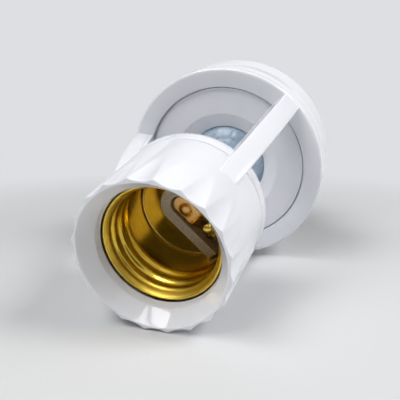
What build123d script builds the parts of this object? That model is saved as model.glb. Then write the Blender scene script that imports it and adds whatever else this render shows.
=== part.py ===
from build123d import *
import math
import os

os.makedirs("parts", exist_ok=True)

# Heights along the axis, up from where the screw base meets the neck
bell_height = 36.2  # neck to the bell's front edge
cage_height = 31.3  # bell's front edge to the socket cap's rear edge
cap_rim_height = 2.9  # cap's rear edge to its seam with the sleeve
sleeve_length = 24.1  # seam to the mouth

# Fits
seat_gap = 0.1  # between mouldings that locate each other
seam_gap = 0.2  # open line that shows where two mouldings meet
spring_gap = 0.35  # round the moving contact

# Bell: front ring and rear housing
bell_radius = 30.5
bell_wall = 2.0
bell_straight = 19.2  # front edge to where the sides start to close
bell_crown_radius = 17.0  # where the rounded back ends
neck_radius = 14.7
neck_height = 4.0
lip_inset = 0.7
lip_height = 0.9
face_drop = 1.15  # fall of the ring's front face towards the disc
disc_opening_radius = 24.95
ring_depth = 3.2  # front edge to the ring's back face
parting_depth = 6.2
lap_height = 2.4
spigot_end_gap = 3.2  # left for solder, between it and the base's plug
spigot_wall = 1.8

# Struts
strut_count = 3
strut_first_angle = -90
strut_foot_depth = 1.0  # below the bell's front edge
strut_foot_inset = 0.3  # foot's outer face behind the bell's side
strut_stand = 3.0  # outside the cap's edge
strut_bulge_height = 0.6
strut_root_height = 8.6  # above the seam, inside the sleeve's wall
strut_foot_width = 5.7
strut_root_width = 5.1
strut_draft = 0.07  # widening towards the inside, for each side
strut_depth = 4.2
strut_wall = 1.2
channel_width = 3.2
strip_thickness = 1.2

# Sleeve and skirt
seam_radius = 19.05
sleeve_wall = 2.05
mouth_radius = 18.0
mouth_bore_radius = 16.85
skirt_depth = 4.0  # mouth to where the skirt meets the bore round the shell's lip
skirt_floor_radius = 14.5
flange_thickness = 2.0
flute_count = 20
flute_sagitta = 0.5  # below the chord between two ridges
flute_land = 0.4  # left between two flutes at the mouth
flute_length = 11.0
flute_runout = 1.5

# Sensor disc and lens
disc_step = 1.15  # disc's face behind the ring's inner edge
disc_gap = 0.3
plate_thickness = 1.8
plate_margin = 0.7  # between the plate and the bell's wall
funnel_radius = 16.7
funnel_depth = 2.2
lens_radius = 12.1
lens_gap = 0.3
lens_wall = 0.8
lens_rise = 4.7
lens_flange_width = 1.9
lens_flange_thickness = 0.8

# Socket cap
cap_flare = 0.25
cap_bulge = 1.9
cap_back_radius = 12.0
cap_back_wall = 1.5
cap_spigot_height = 3.5
cap_spigot_wall = 0.65
cap_ledge = 1.6
terminal_room = 4.4
terminal_room_chamfer = 2.3

# Socket shell, insulator and contact
socket_radius = 13.25
thread_length = 12.0  # below the lip's bead
band_step = 0.35  # plain band below the thread, wider by this
shell_wall = 0.4
shell_lip_bead = 0.4
shell_corner = 0.6
lip_depth = 6.5  # mouth to the lip's front
floor_drop = 0.5  # shell floor behind the cap's rear edge
cutout_gap = 0.3
plate_of_insulator = 2.2
insulator_gap = 0.3
collar_height = 3.5
collar_width = 10.4
collar_wall = 2.6
collar_round_centre = 2.3
collar_reach = 13.2
collar_open_end = 0.2  # slot past the collar's legs
slot_recess = 0.4
leaf_thickness = 0.5
leaf_width = 4.6
leaf_foot_length = 5.0
leaf_ramp_length = 2.6
leaf_rise = 2.55
leaf_tip = 4.3
leaf_bend = 0.7
dimple_place = 0.6  # from the axis, towards the leaf's tip
dimple_radius = 2.1
dimple_height = 0.6
dimple_slope_angle = 60
contact_screw_place = 8.0  # from the axis, towards -X
contact_screw_radius = 1.2
contact_head_radius = 2.2
contact_head_height = 1.2
contact_slot_width = 0.6
contact_slot_depth = 0.5
contact_slot_angle = 35
contact_hole_gap = 0.4
screw_gap = 0.1
terminal_length = 5.2
terminal_width = 5.0
terminal_height = 3.0
rivet_circle_radius = 10.5
rivet_spread = 60  # between the two rivets, about strut 1
rivet_radius = 1.0
rivet_head_radius = 1.6
rivet_head_height = 0.6
tab_thickness = 0.6
tab_length = 14.0
tab_inner = 7.2
tab_outer = 11.0
tab_lug_width = 3.2
tab_lug_height = 2.4

# Screw base
base_radius = 13.1
base_wall = 0.5
base_length = 17.5
base_shoulder_height = 2.3
base_shoulder_radius = 10.9
plug_height = 1.3
plug_step = 0.4
plug_end_radius = 5.5
plug_cone_height = 3.4
tip_radius = 4.8
tip_rim = 0.6
tip_height = 2.0

# Circuit board and what it carries
board_radius = 23.0
board_thickness = 1.6
boss_height = 2.6
boss_radius = 2.5
boss_pilot_depth = 2.2
board_screw_circle_radius = 19.0
board_screw_radius = 1.0
board_screw_grip_length = 1.8
board_head_radius = 2.2
board_head_height = 1.4
sensor_radius = 4.6
sensor_height = 4.2
sensor_flange_width = 0.4
sensor_flange_height = 0.6
cell_radius = 2.5
cell_height = 2.0
cell_place = 8.6
relay_length = 16.0
relay_width = 11.0
relay_height = 13.0
relay_place = (-3.0, -12.0)
film_length = 13.0
film_width = 6.0
film_height = 11.0
film_place = (-6.0, 9.5)
can_radius = 4.0
can_height = 12.0
can_crimp_depth = 0.3
can_crimp_height = 2.5
can_place = (11.0, 8.5)
chip_length = 9.0
chip_width = 5.0
chip_height = 1.6
chip_place = (11.0, -2.5)
resistor_radius = 1.15
resistor_length = 6.3
resistor_lead_radius = 0.3
resistor_lead_reach = 1.0
resistor_pitch = 3.4
resistor_count = 3
resistor_place = (-15.5, -3.0)

# Wires
wire_diameter = 1.3
wire_gap = 0.2
wire_inset = 2.7  # centre line inside the strut's outer face
wire_entry = 1.8  # below the seam, where it passes into the cap
live_strut_angle = 150
neutral_strut_angle = -90
strut_wire_bends = [1.2, 6.0, 20.0, 1.3, 0.9, 1.5]  # from the board to below the insulator
terminal_wire_drop = 1.8  # below the insulator's back
terminal_turn_bend = 0.9
terminal_entry_bend = 1.2
base_wire_bend = 8.0
solder_bend = 1.2
live_pad = (4.0, 2.0)
neutral_pad = (-3.0, 0.0)

# Levels that follow from the heights
z_bell = bell_height
z_cap = z_bell + cage_height
z_seam = z_cap + cap_rim_height
z_mouth = z_seam + sleeve_length
z_foot = z_bell - strut_foot_depth
z_root = z_seam + strut_root_height
z_ring_back = z_bell - ring_depth
z_parting = z_bell - parting_depth
z_lap = z_parting - lap_height
z_plate_back = z_ring_back - plate_thickness
z_disc = z_bell - face_drop - disc_step
z_board = z_plate_back - boss_height
z_board_back = z_board - board_thickness
z_flange = z_mouth - skirt_depth
z_flange_back = z_flange - flange_thickness
z_lip = z_mouth - lip_depth
z_floor = z_cap - floor_drop
z_insulator = z_floor - shell_wall
z_insulator_back = z_insulator - plate_of_insulator
z_room = z_insulator_back - terminal_room
z_cap_back = z_room - cap_back_wall
z_cap_top = z_seam - seam_gap

# Radii that follow from the fits
ring_bore_radius = bell_radius - bell_wall
lap_radius = bell_radius - bell_wall / 2
plate_radius = ring_bore_radius - plate_margin
sleeve_bore_radius = seam_radius - sleeve_wall
cap_radius = seam_radius + cap_flare
cap_bore_radius = sleeve_bore_radius - seat_gap - cap_spigot_wall
insulator_radius = cap_bore_radius - insulator_gap
shell_radius = socket_radius + shell_wall
band_radius = socket_radius + band_step
flange_radius = shell_radius + shell_lip_bead + insulator_gap
strut_cap_radius = cap_radius + strut_stand
strut_foot_radius = bell_radius - strut_foot_inset
wire_radius = wire_diameter / 2


def strut_radius(z):
    # Straight from inside the bell's edge to just outside the cap, plus a slight bulge
    share = max(0, (z - z_foot) / (z_cap - z_foot))
    line = strut_foot_radius + (strut_cap_radius - strut_foot_radius) * share
    return line + 4 * strut_bulge_height * share * (1 - share)


def strut_half_width(z, radius):
    share = (z - z_foot) / (z_root - z_foot)
    outer = strut_foot_width + (strut_root_width - strut_foot_width) * share
    return outer / 2 + strut_draft * (strut_radius(z) - radius)


def strut_band(inner_inset, outer_inset, z_low, z_high, half_width):
    # Slab across +X between two curves set in from the strut's outer line, upright below its foot
    levels = (z_foot, (z_foot + z_root) / 2, z_root)
    with BuildPart() as band:
        with BuildSketch(Plane.XZ):
            with BuildLine():
                inner = ThreePointArc(*[(strut_radius(z) - inner_inset, z) for z in levels])
                outer = ThreePointArc(*[(strut_radius(z) - outer_inset, z) for z in levels])
                Polyline(
                    inner @ 0,
                    (strut_foot_radius - inner_inset, 0),
                    (strut_foot_radius - outer_inset, 0),
                    outer @ 0,
                )
                Line(inner @ 1, outer @ 1)
            make_face()
            with Locations((0, z_low)):
                Rectangle(
                    3 * bell_radius,
                    z_high - z_low,
                    align=(Align.CENTER, Align.MIN),
                    mode=Mode.INTERSECT,
                )
        extrude(amount=half_width, both=True)
    return band.part


def strut_slab(inner_inset, outer_inset, z_low, z_high):
    # The same slab, with sides that taper along the strut and draw in towards its outer face
    with BuildPart() as slab:
        add(strut_band(inner_inset, outer_inset, z_low, z_high, strut_foot_width))
        add(strut_wedge.part, mode=Mode.INTERSECT)
    return slab.part


def collar_outline(margin):
    # Long slot with one round end, cut off by a circle round the axis
    with BuildSketch(mode=Mode.PRIVATE) as outline:
        half = collar_width / 2 + margin
        with Locations((collar_round_centre, 0)):
            Circle(half)
            Rectangle(2 * collar_reach, 2 * half, align=(Align.MAX, Align.CENTER))
        Circle(collar_reach + margin, mode=Mode.INTERSECT)
    return outline.sketch


def around(radius, angle):
    return (radius * math.cos(math.radians(angle)), radius * math.sin(math.radians(angle)))


# Shapes that the struts share: the taper of their sides, their body, channel, strip and notches
with BuildPart() as strut_wedge:
    for z in (z_plate_back, z_root):
        near = strut_radius(z) - 3 * strut_depth
        far = strut_radius(z) + strut_depth
        near_half = strut_half_width(z, near)
        far_half = strut_half_width(z, far)
        with BuildSketch(Plane.XY.offset(z)):
            with BuildLine():
                Polyline((near, -near_half), (far, -far_half), (far, far_half), (near, near_half), close=True)
            make_face()
    loft(ruled=True)
strut_body = strut_slab(strut_depth, 0, z_foot - lip_height, z_root)
strut_channel = strut_band(
    strut_depth + seat_gap, strut_wall, z_ring_back - seat_gap, z_seam + seam_gap, channel_width / 2
)
strut_strip = strut_slab(strut_depth + strip_thickness, strut_depth + seat_gap / 2, z_plate_back, z_cap_top)
notch_half_width = strut_half_width(z_foot, strut_foot_radius - strut_depth) + seat_gap
strip_notch = strut_band(2 * strut_depth, strut_depth, z_ring_back, z_bell, notch_half_width)
cap_notch = strut_band(strut_depth, -strut_depth, z_insulator_back, z_seam, notch_half_width)

# Front frame: bell ring, struts and fluted sleeve in one moulding
flute_half_chord = mouth_radius * math.sin(math.pi / flute_count) - flute_land / 2
flute_chord_radius = math.sqrt(mouth_radius**2 - flute_half_chord**2)
flute_radius = (flute_half_chord**2 + flute_sagitta**2) / (2 * flute_sagitta)
flute_valley_radius = flute_chord_radius - flute_sagitta
sleeve_taper = (seam_radius - mouth_radius) / sleeve_length
flute_rise = mouth_radius + sleeve_taper * flute_length - flute_valley_radius
flute_tilt = math.degrees(math.atan2(flute_rise, flute_length))
with BuildPart() as front_frame:
    with BuildSketch(Plane.XZ):
        with BuildLine():
            face = Line((disc_opening_radius, z_bell - face_drop), (bell_radius - lip_inset, z_bell))
            lip = TangentArc((bell_radius, z_bell - lip_height), face @ 1, tangent=(0, 1))
            Polyline(
                lip @ 0,
                (bell_radius, z_parting),
                (lap_radius - seat_gap, z_parting),
                (lap_radius - seat_gap, z_lap + seat_gap),
                (ring_bore_radius, z_lap + seat_gap),
                (ring_bore_radius, z_ring_back),
                (disc_opening_radius, z_ring_back),
                face @ 0,
            )
        make_face()
        with BuildLine():
            Polyline(
                (seam_radius, z_seam),
                (mouth_radius, z_mouth),
                (mouth_bore_radius, z_mouth),
                (skirt_floor_radius, z_flange),
                (flange_radius, z_flange_back),
                (sleeve_bore_radius, z_flange_back),
                (sleeve_bore_radius, z_seam),
                close=True,
            )
        make_face()
    revolve(axis=Axis.Z)
    with PolarLocations(0, strut_count, start_angle=strut_first_angle):
        add(strut_body)
    with BuildSketch(Plane.XY.offset(z_seam)):
        Circle(sleeve_bore_radius)
    extrude(amount=strut_root_height, mode=Mode.SUBTRACT)
    with PolarLocations(0, strut_count, start_angle=strut_first_angle):
        add(strut_channel, mode=Mode.SUBTRACT)
        add(strip_notch, mode=Mode.SUBTRACT)
    with Locations((0, 0, z_mouth)):
        with PolarLocations(flute_valley_radius + flute_radius, flute_count, start_angle=180 / flute_count):
            Cylinder(
                flute_radius,
                2 * (flute_length + flute_runout),
                rotation=(0, -flute_tilt, 0),
                mode=Mode.SUBTRACT,
            )
front_frame.part.label = "front_frame"
export_step(front_frame.part, "parts/front_frame.step")

# Inner cover: sensor disc, strips that close the struts, and the socket's rear cap
z_wire_entry = z_seam - wire_entry
boss_angle = strut_first_angle + 180 / strut_count
wire_angles = (live_strut_angle, neutral_strut_angle)
wire_rise_radius = plate_radius - wire_radius / 2
wire_inner_radius = cap_bore_radius - cap_ledge - 3 * wire_radius
with BuildPart() as inner_cover:
    with BuildSketch(Plane.XZ):
        with BuildLine():
            Polyline(
                (lens_radius + lens_gap, z_plate_back),
                (plate_radius, z_plate_back),
                (plate_radius, z_ring_back),
                (disc_opening_radius - disc_gap, z_ring_back),
                (disc_opening_radius - disc_gap, z_disc),
                (funnel_radius, z_disc),
                (lens_radius + lens_gap, z_disc - funnel_depth),
                close=True,
            )
        make_face()
        with BuildLine():
            chord = Vector(cap_back_radius - cap_radius, z_cap_back - z_cap)
            bulge = Vector(-chord.Y, chord.X).normalized() * cap_bulge
            middle = Vector(cap_radius, z_cap) + chord / 2 + bulge
            dome = ThreePointArc((cap_back_radius, z_cap_back), middle, (cap_radius, z_cap))
            Polyline(
                dome @ 1,
                (seam_radius, z_cap_top),
                (sleeve_bore_radius - seat_gap, z_cap_top),
                (sleeve_bore_radius - seat_gap, z_seam + cap_spigot_height),
                (cap_bore_radius, z_seam + cap_spigot_height),
                (cap_bore_radius, z_insulator_back),
                (cap_bore_radius - cap_ledge, z_insulator_back),
                (cap_bore_radius - cap_ledge, z_room + terminal_room_chamfer),
                (cap_bore_radius - cap_ledge - terminal_room_chamfer, z_room),
                (0, z_room),
                (0, z_cap_back),
                dome @ 0,
            )
        make_face()
    revolve(axis=Axis.Z)
    with PolarLocations(0, strut_count, start_angle=strut_first_angle):
        add(cap_notch, mode=Mode.SUBTRACT)
        add(strut_strip)
    with BuildSketch(Plane.XY.offset(z_insulator_back)):
        Circle(cap_bore_radius)
    extrude(amount=z_cap_top - z_insulator_back, mode=Mode.SUBTRACT)
    with BuildSketch(Plane.XY.offset(z_plate_back)):
        with PolarLocations(board_screw_circle_radius, strut_count, start_angle=boss_angle):
            Circle(boss_radius)
    extrude(amount=-boss_height)
    with BuildSketch(Plane.XY.offset(z_board)):
        with PolarLocations(board_screw_circle_radius, strut_count, start_angle=boss_angle):
            Circle(board_screw_radius + screw_gap)
    extrude(amount=boss_pilot_depth, mode=Mode.SUBTRACT)
    for angle in wire_angles:
        with Locations((0, 0, z_wire_entry)):
            with PolarLocations(sleeve_bore_radius, 1, start_angle=angle):
                Cylinder(
                    wire_radius + wire_gap, 2 * strut_depth, rotation=(0, 90, 0), mode=Mode.SUBTRACT
                )
        with BuildSketch(Plane.XY.offset(z_plate_back)):
            with PolarLocations(wire_rise_radius, 1, start_angle=angle):
                Circle(wire_radius + wire_gap)
        extrude(amount=plate_thickness, mode=Mode.SUBTRACT)
inner_cover.part.label = "inner_cover"
export_step(inner_cover.part, "parts/inner_cover.step")

# Rear housing: rounded bell, neck and the spigot that carries the screw base
z_close = z_bell - bell_straight
spigot_radius = base_radius - base_wall - seat_gap
spigot_length = base_length - plug_height - spigot_end_gap
with BuildPart() as rear_housing:
    with BuildSketch(Plane.XZ):
        with BuildLine():
            outside = EllipticalCenterArc(
                (bell_crown_radius, z_close),
                bell_radius - bell_crown_radius,
                z_close - neck_height,
                start_angle=270,
                arc_size=90,
            )
            inside = EllipticalCenterArc(
                (bell_crown_radius, z_close),
                ring_bore_radius - bell_crown_radius,
                z_close - neck_height - bell_wall,
                start_angle=270,
                arc_size=90,
            )
            Polyline(
                outside @ 1,
                (bell_radius, z_parting - seam_gap),
                (lap_radius, z_parting - seam_gap),
                (lap_radius, z_lap),
                (ring_bore_radius, z_lap),
                inside @ 1,
            )
            Polyline(
                outside @ 0,
                (neck_radius, neck_height),
                (neck_radius, 0),
                (spigot_radius, 0),
                (spigot_radius, -spigot_length),
                (spigot_radius - spigot_wall, -spigot_length),
                (spigot_radius - spigot_wall, neck_height + bell_wall),
                inside @ 0,
            )
        make_face()
    revolve(axis=Axis.Z)
rear_housing.part.label = "rear_housing"
export_step(rear_housing.part, "parts/rear_housing.step")

# Lens: thin dome with a flange that bears on the back of the disc's plate
z_dome = z_disc - funnel_depth
with BuildPart() as sensor_lens:
    with BuildSketch(Plane.XZ):
        with BuildLine():
            top = TangentArc((0, z_dome + lens_rise), (lens_radius, z_dome), tangent=(1, 0))
            under = TangentArc(
                (0, z_dome + lens_rise - lens_wall), (lens_radius - lens_wall, z_dome), tangent=(1, 0)
            )
            Line(top @ 0, under @ 0)
            Polyline(
                top @ 1,
                (lens_radius, z_plate_back),
                (lens_radius + lens_flange_width, z_plate_back),
                (lens_radius + lens_flange_width, z_plate_back - lens_flange_thickness),
                (lens_radius - lens_wall, z_plate_back - lens_flange_thickness),
                under @ 1,
            )
        make_face()
    revolve(axis=Axis.Z)
sensor_lens.part.label = "sensor_lens"
export_step(sensor_lens.part, "parts/sensor_lens.step")

# Socket shell: drawn brass cup with a rolled lip and a slotted floor
rivet_start = strut_first_angle - rivet_spread / 2
rivet_places = [around(rivet_circle_radius, rivet_start + rivet_spread * n) for n in range(2)]
z_bead = z_lip - shell_lip_bead
z_thread = z_bead - thread_length
with BuildPart() as socket_shell:
    with BuildSketch(Plane.XZ):
        with BuildLine():
            cup = FilletPolyline(
                (0, z_insulator),
                (band_radius + shell_wall, z_insulator),
                (band_radius + shell_wall, z_thread - band_step),
                radius=shell_corner + shell_wall,
            )
            bore = FilletPolyline(
                (0, z_floor), (band_radius, z_floor), (band_radius, z_thread - band_step), radius=shell_corner
            )
            Line(cup @ 0, bore @ 0)
            Polyline(
                cup @ 1,
                (shell_radius, z_thread),
                (shell_radius, z_bead),
                (socket_radius, z_bead),
                (socket_radius, z_thread),
                bore @ 1,
            )
        make_face()
        with Locations((shell_radius, z_bead)):
            Circle(shell_lip_bead)
    revolve(axis=Axis.Z)
    with BuildSketch(Plane.XY.offset(z_insulator)):
        add(collar_outline(cutout_gap))
        with Locations(*rivet_places):
            Circle(rivet_radius + screw_gap)
    extrude(amount=shell_wall + shell_corner, mode=Mode.SUBTRACT)
socket_shell.part.label = "socket_shell"
export_step(socket_shell.part, "parts/socket_shell.step")

# Insulator: round plate with a collar that stands up through the shell's floor
with BuildPart() as socket_insulator:
    with BuildSketch(Plane.XY.offset(z_insulator_back)):
        Circle(insulator_radius)
    extrude(amount=plate_of_insulator)
    with BuildSketch(Plane.XY.offset(z_insulator)):
        add(collar_outline(0))
    extrude(amount=shell_wall + collar_height)
    with BuildSketch(Plane.XY.offset(z_insulator - slot_recess)):
        half_slot = collar_width / 2 - collar_wall
        with Locations((collar_round_centre, 0)):
            Circle(half_slot)
            slot_length = collar_round_centre + collar_reach + collar_open_end
            Rectangle(slot_length, 2 * half_slot, align=(Align.MAX, Align.CENTER))
    extrude(amount=slot_recess + shell_wall + collar_height, mode=Mode.SUBTRACT)
    with BuildSketch(Plane.XY.offset(z_insulator_back)):
        with Locations(*rivet_places):
            Circle(rivet_radius + screw_gap)
        with Locations((-contact_screw_place, 0)):
            Circle(contact_screw_radius + screw_gap)
        for angle in wire_angles:
            with PolarLocations(insulator_radius, 1, start_angle=angle):
                notch_reach = insulator_radius - wire_inner_radius + wire_radius + wire_gap
                SlotOverall(2 * notch_reach, 2 * (wire_radius + wire_gap))
    extrude(amount=plate_of_insulator, mode=Mode.SUBTRACT)
socket_insulator.part.label = "socket_insulator"
export_step(socket_insulator.part, "parts/socket_insulator.step")

# Centre contact: one folded leaf with a round dimple, held by its foot
z_foot_under = z_insulator - slot_recess + spring_gap
leaf_foot_start = -contact_screw_place - leaf_foot_length / 2
leaf_foot_end = leaf_foot_start + leaf_foot_length
with BuildPart() as centre_contact:
    with BuildSketch(Plane.XZ):
        with BuildLine() as leaf_line:
            FilletPolyline(
                (leaf_foot_start, z_foot_under + leaf_thickness / 2),
                (leaf_foot_end, z_foot_under + leaf_thickness / 2),
                (leaf_foot_end + leaf_ramp_length, z_foot_under + leaf_rise + leaf_thickness / 2),
                (leaf_tip, z_foot_under + leaf_rise + leaf_thickness / 2),
                radius=leaf_bend,
            )
        trace(line_width=leaf_thickness)
    extrude(amount=leaf_width, both=True)
    with BuildSketch(Plane.XY.offset(z_foot_under - leaf_thickness)):
        with Locations((leaf_tip - leaf_width / 2, 0)):
            Circle(leaf_width / 2)
            leaf_straight = leaf_tip - leaf_width / 2 - leaf_foot_start
            Rectangle(leaf_straight, leaf_width, align=(Align.MAX, Align.CENTER))
    extrude(amount=leaf_rise + 3 * leaf_thickness, mode=Mode.INTERSECT)
    with BuildSketch(Plane.XY.offset(z_foot_under + leaf_rise + leaf_thickness)):
        with Locations((dimple_place, 0)):
            Circle(dimple_radius)
    extrude(amount=dimple_height, taper=dimple_slope_angle)
    with BuildSketch(Plane.XY.offset(z_foot_under)):
        with Locations((-contact_screw_place, 0)):
            Circle(contact_screw_radius + contact_hole_gap)
    extrude(amount=leaf_thickness, mode=Mode.SUBTRACT)
centre_contact.part.label = "centre_contact"
export_step(centre_contact.part, "parts/centre_contact.step")

# Contact screw: slotted head over the leaf's foot
z_head = z_foot_under + leaf_thickness + spring_gap
z_terminal = z_insulator_back - terminal_height
with BuildPart() as contact_screw:
    with BuildSketch(Plane.XY.offset(z_head)):
        with Locations((-contact_screw_place, 0)):
            Circle(contact_head_radius)
    extrude(amount=contact_head_height)
    with BuildSketch(Plane.XY.offset(z_terminal)):
        with Locations((-contact_screw_place, 0)):
            Circle(contact_screw_radius)
    extrude(amount=z_head - z_terminal)
    with BuildSketch(Plane.XY.offset(z_head + contact_head_height)):
        with Locations((-contact_screw_place, 0)):
            Rectangle(contact_slot_width, 3 * contact_head_radius, rotation=contact_slot_angle)
    extrude(amount=-contact_slot_depth, mode=Mode.SUBTRACT)
contact_screw.part.label = "contact_screw"
export_step(contact_screw.part, "parts/contact_screw.step")

# Live terminal: nut block behind the insulator
with BuildPart() as live_terminal:
    with BuildSketch(Plane.XY.offset(z_terminal)):
        with Locations((-contact_screw_place, 0)):
            Rectangle(terminal_length, terminal_width)
            Circle(contact_screw_radius + screw_gap, mode=Mode.SUBTRACT)
    extrude(amount=terminal_height)
live_terminal.part.label = "live_terminal"
export_step(live_terminal.part, "parts/live_terminal.step")

# Shell rivets: two alike, through the floor, the insulator and the tab
z_tab = z_insulator_back - tab_thickness
with BuildPart() as shell_rivets:
    with BuildSketch(Plane.XY.offset(z_tab - rivet_head_height)):
        with Locations(*rivet_places):
            Circle(rivet_head_radius)
    extrude(amount=rivet_head_height)
    with BuildSketch(Plane.XY.offset(z_tab)):
        with Locations(*rivet_places):
            Circle(rivet_radius)
    extrude(amount=z_floor - z_tab)
    with BuildSketch(Plane.XY.offset(z_floor)):
        with Locations(*rivet_places):
            Circle(rivet_head_radius)
    extrude(amount=rivet_head_height)
shell_rivets.part.label = "shell_rivets"
export_step(shell_rivets.part, "parts/shell_rivets.step")

# Neutral tab: riveted strip with a lug turned down for its wire
with BuildPart() as neutral_tab:
    with BuildSketch(Plane.XY.offset(z_tab)):
        with Locations((0, -(tab_inner + tab_outer) / 2)):
            Rectangle(tab_length, tab_outer - tab_inner)
        with Locations(*rivet_places):
            Circle(rivet_radius + screw_gap, mode=Mode.SUBTRACT)
    extrude(amount=tab_thickness)
    with BuildSketch(Plane.XY.offset(z_tab)):
        with Locations((0, -tab_inner)):
            Rectangle(tab_lug_width, tab_thickness, align=(Align.CENTER, Align.MAX))
    extrude(amount=-tab_lug_height)
neutral_tab.part.label = "neutral_tab"
export_step(neutral_tab.part, "parts/neutral_tab.step")

# Base shell: thin screw shell, drawn in at its end
base_bore_radius = base_radius - base_wall
z_base_end = -base_length - base_shoulder_height
with BuildPart() as base_shell:
    with BuildSketch(Plane.XZ):
        with BuildLine():
            Polyline(
                (base_radius, 0),
                (base_radius, -base_length),
                (base_shoulder_radius, z_base_end),
                (base_shoulder_radius - base_wall, z_base_end),
                (base_shoulder_radius - base_wall, z_base_end + base_wall / 2),
                (base_bore_radius, -base_length + base_wall / 2),
                (base_bore_radius, 0),
                close=True,
            )
        make_face()
    revolve(axis=Axis.Z)
base_shell.part.label = "base_shell"
export_step(base_shell.part, "parts/base_shell.step")

# Base insulator: plug in the shell's end, coned down to the tip
z_plug = -base_length + plug_height
z_plug_end = z_base_end - plug_step - plug_cone_height
with BuildPart() as base_insulator:
    with BuildSketch(Plane.XZ):
        with BuildLine():
            Polyline(
                (wire_radius + wire_gap, z_plug),
                (base_bore_radius - seat_gap, z_plug),
                (base_bore_radius - seat_gap, -base_length + base_wall / 2 + seat_gap),
                (base_shoulder_radius - base_wall - seat_gap, z_base_end + base_wall / 2 + seat_gap),
                (base_shoulder_radius - base_wall - seat_gap, z_base_end - plug_step),
                (plug_end_radius, z_plug_end),
                (wire_radius + wire_gap, z_plug_end),
                close=True,
            )
        make_face()
    revolve(axis=Axis.Z)
base_insulator.part.label = "base_insulator"
export_step(base_insulator.part, "parts/base_insulator.step")

# Base tip: domed end contact
with BuildPart() as base_tip:
    with BuildSketch(Plane.XZ):
        with BuildLine():
            crown = TangentArc(
                (0, z_plug_end - tip_height), (tip_radius, z_plug_end - tip_rim), tangent=(1, 0)
            )
            Polyline(crown @ 1, (tip_radius, z_plug_end), (0, z_plug_end), crown @ 0)
        make_face()
    revolve(axis=Axis.Z)
base_tip.part.label = "base_tip"
export_step(base_tip.part, "parts/base_tip.step")

# Circuit board
with BuildPart() as circuit_board:
    with BuildSketch(Plane.XY.offset(z_board_back)):
        Circle(board_radius)
        with PolarLocations(board_screw_circle_radius, strut_count, start_angle=boss_angle):
            Circle(board_screw_radius + screw_gap, mode=Mode.SUBTRACT)
    extrude(amount=board_thickness)
circuit_board.part.label = "circuit_board"
export_step(circuit_board.part, "parts/circuit_board.step")

# Board screws: three alike, driven from behind into the bosses
with BuildPart() as board_screws:
    with BuildSketch(Plane.XY.offset(z_board_back)):
        with PolarLocations(board_screw_circle_radius, strut_count, start_angle=boss_angle):
            Circle(board_head_radius)
    extrude(amount=-board_head_height)
    with BuildSketch(Plane.XY.offset(z_board_back)):
        with PolarLocations(board_screw_circle_radius, strut_count, start_angle=boss_angle):
            Circle(board_screw_radius)
    extrude(amount=board_thickness + board_screw_grip_length)
board_screws.part.label = "board_screws"
export_step(board_screws.part, "parts/board_screws.step")

# Pyro sensor: metal can behind the lens
with BuildPart() as pyro_sensor:
    with BuildSketch(Plane.XY.offset(z_board)):
        Circle(sensor_radius + sensor_flange_width)
    extrude(amount=sensor_flange_height)
    with BuildSketch(Plane.XY.offset(z_board)):
        Circle(sensor_radius)
    extrude(amount=sensor_height)
    fillet(pyro_sensor.edges().group_by(Axis.Z)[-1], radius=sensor_flange_height)
pyro_sensor.part.label = "pyro_sensor"
export_step(pyro_sensor.part, "parts/pyro_sensor.step")

# Light cell
with BuildPart() as light_cell:
    with BuildSketch(Plane.XY.offset(z_board)):
        with Locations((cell_place, 0)):
            Circle(cell_radius)
    extrude(amount=cell_height)
light_cell.part.label = "light_cell"
export_step(light_cell.part, "parts/light_cell.step")

# Relay
with BuildPart() as relay:
    with BuildSketch(Plane.XY.offset(z_board_back)):
        with Locations(relay_place):
            RectangleRounded(relay_length, relay_width, board_thickness / 2)
    extrude(amount=-relay_height)
relay.part.label = "relay"
export_step(relay.part, "parts/relay.step")

# Film capacitor
with BuildPart() as film_capacitor:
    with BuildSketch(Plane.XY.offset(z_board_back)):
        with Locations(film_place):
            RectangleRounded(film_length, film_width, board_thickness / 2)
    extrude(amount=-film_height)
film_capacitor.part.label = "film_capacitor"
export_step(film_capacitor.part, "parts/film_capacitor.step")

# Electrolytic capacitor: round can with a rolled crimp near its foot
with BuildPart() as electrolytic_capacitor:
    with BuildSketch(Plane.XY.offset(z_board_back)):
        with Locations(can_place):
            Circle(can_radius)
    extrude(amount=-can_height)
    with BuildSketch(Plane.XY.offset(z_board_back - can_crimp_height)):
        with Locations(can_place):
            Circle(can_radius)
            Circle(can_radius - can_crimp_depth, mode=Mode.SUBTRACT)
    extrude(amount=can_crimp_depth, both=True, mode=Mode.SUBTRACT)
electrolytic_capacitor.part.label = "electrolytic_capacitor"
export_step(electrolytic_capacitor.part, "parts/electrolytic_capacitor.step")

# Control chip
with BuildPart() as control_chip:
    with BuildSketch(Plane.XY.offset(z_board_back)):
        with Locations(chip_place):
            Rectangle(chip_length, chip_width)
    extrude(amount=-chip_height)
control_chip.part.label = "control_chip"
export_step(control_chip.part, "parts/control_chip.step")

# Resistors: three alike, each a body with two bent leads
z_resistor = z_board_back - resistor_radius - resistor_lead_radius
lead_half = resistor_length / 2 + resistor_lead_reach
with BuildPart() as resistors:
    for n in range(resistor_count):
        across = resistor_place[1] + resistor_pitch * n
        with BuildLine() as lead_line:
            FilletPolyline(
                (resistor_place[0] - lead_half, across, z_board_back),
                (resistor_place[0] - lead_half, across, z_resistor),
                (resistor_place[0] + lead_half, across, z_resistor),
                (resistor_place[0] + lead_half, across, z_board_back),
                radius=2 * resistor_lead_radius,
            )
        with BuildSketch(Plane(lead_line.line @ 0, z_dir=lead_line.line % 0)):
            Circle(resistor_lead_radius)
        sweep(path=lead_line.line)
        with Locations((resistor_place[0], across, z_resistor)):
            Cylinder(resistor_radius, resistor_length, rotation=(0, 90, 0))
resistors.part.label = "resistors"
export_step(resistors.part, "parts/resistors.step")


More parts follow.
